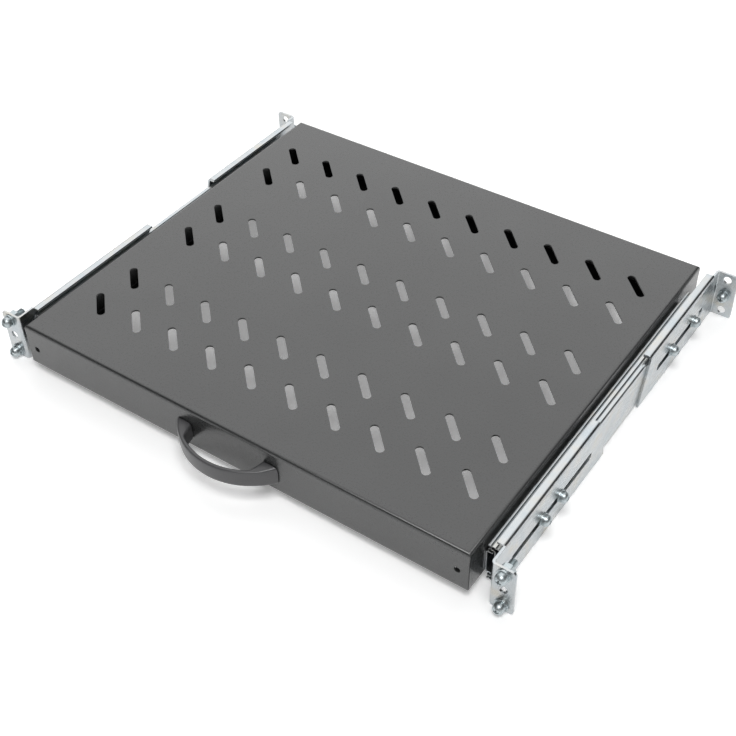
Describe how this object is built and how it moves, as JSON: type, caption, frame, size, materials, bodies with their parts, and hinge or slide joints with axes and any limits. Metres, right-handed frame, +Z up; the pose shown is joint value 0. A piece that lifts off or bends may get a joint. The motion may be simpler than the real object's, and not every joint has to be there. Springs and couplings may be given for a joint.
{
  "type": "sliding rack shelf",
  "caption": "Shallow vented steel shelf with a bow handle, running out on ball-bearing telescopic slides between slotted brackets with rack ears.",
  "frame": {"origin": "midway between the middle holes of the two front ears, on the ears' rear face that meets the rack", "axes": "+X to the right seen from the front, +Y to the back of the rack, +Z up"},
  "size_m": [0.4826, 0.412, 0.0467],
  "materials": {
    "powder_coat": "fine satin",
    "zinc_plate": "bright zinc",
    "fastener_steel": "plated",
    "bearing_steel": "polished",
    "black_plastic": "moulded"
  },
  "bodies": {
    "rails": {"outer_slide_right": "zinc_plate", "clamp_screws_right": "fastener_steel", "slide_bumper_right": "black_plastic", "outer_slide_left": "zinc_plate", "clamp_screws_left": "fastener_steel", "slide_bumper_left": "black_plastic"},
    "tray": {"shelf_tray": "powder_coat", "front_handle": "black_plastic", "handle_screws": "fastener_steel", "inner_slide_right": "zinc_plate", "inner_slide_screws_right": "fastener_steel", "inner_slide_left": "zinc_plate", "inner_slide_screws_left": "fastener_steel"},
    "middle_right": {"middle_slide_right": "zinc_plate"},
    "outer_cage_right": {"outer_ball_cage_right": "zinc_plate", "outer_balls_right": "bearing_steel"},
    "inner_cage_right": {"inner_ball_cage_right": "zinc_plate", "inner_balls_right": "bearing_steel"},
    "front_mount_right": {"front_bracket_right": "zinc_plate", "mounting_screws_front_right": "fastener_steel", "mounting_nuts_front_right": "fastener_steel"},
    "rear_mount_right": {"rear_bracket_right": "zinc_plate", "mounting_screws_rear_right": "fastener_steel", "mounting_nuts_rear_right": "fastener_steel"},
    "middle_left": {"middle_slide_left": "zinc_plate"},
    "outer_cage_left": {"outer_ball_cage_left": "zinc_plate", "outer_balls_left": "bearing_steel"},
    "inner_cage_left": {"inner_ball_cage_left": "zinc_plate", "inner_balls_left": "bearing_steel"},
    "front_mount_left": {"front_bracket_left": "zinc_plate", "mounting_screws_front_left": "fastener_steel", "mounting_nuts_front_left": "fastener_steel"},
    "rear_mount_left": {"rear_bracket_left": "zinc_plate", "mounting_screws_rear_left": "fastener_steel", "mounting_nuts_rear_left": "fastener_steel"}
  },
  "joints": [
    {"name": "tray_slide", "type": "slide", "parent": "rails", "child": "tray", "axis": [0, -1, 0], "range_m": [0, 0.31]},
    {"name": "middle_right_slide", "type": "slide", "parent": "rails", "child": "middle_right", "axis": [0, -1, 0], "range_m": [0, 0.155]},
    {"name": "outer_cage_right_slide", "type": "slide", "parent": "rails", "child": "outer_cage_right", "axis": [0, -1, 0], "range_m": [0, 0.0775]},
    {"name": "inner_cage_right_slide", "type": "slide", "parent": "rails", "child": "inner_cage_right", "axis": [0, -1, 0], "range_m": [0, 0.2325]},
    {"name": "front_mount_right_adjust", "type": "slide", "parent": "rails", "child": "front_mount_right", "axis": [0, 1, 0], "range_m": [-0.04, 0.04]},
    {"name": "rear_mount_right_adjust", "type": "slide", "parent": "rails", "child": "rear_mount_right", "axis": [0, 1, 0], "range_m": [-0.014, 0.023]},
    {"name": "middle_left_slide", "type": "slide", "parent": "rails", "child": "middle_left", "axis": [0, -1, 0], "range_m": [0, 0.155]},
    {"name": "outer_cage_left_slide", "type": "slide", "parent": "rails", "child": "outer_cage_left", "axis": [0, -1, 0], "range_m": [0, 0.0775]},
    {"name": "inner_cage_left_slide", "type": "slide", "parent": "rails", "child": "inner_cage_left", "axis": [0, -1, 0], "range_m": [0, 0.2325]},
    {"name": "front_mount_left_adjust", "type": "slide", "parent": "rails", "child": "front_mount_left", "axis": [0, 1, 0], "range_m": [-0.04, 0.04]},
    {"name": "rear_mount_left_adjust", "type": "slide", "parent": "rails", "child": "rear_mount_left", "axis": [0, 1, 0], "range_m": [-0.014, 0.023]}
  ],
  "couplings": [
    {"joint": "middle_right_slide", "follows": "tray_slide", "ratio": 0.5},
    {"joint": "outer_cage_right_slide", "follows": "tray_slide", "ratio": 0.25},
    {"joint": "inner_cage_right_slide", "follows": "tray_slide", "ratio": 0.75},
    {"joint": "middle_left_slide", "follows": "tray_slide", "ratio": 0.5},
    {"joint": "outer_cage_left_slide", "follows": "tray_slide", "ratio": 0.25},
    {"joint": "inner_cage_left_slide", "follows": "tray_slide", "ratio": 0.75}
  ]
}
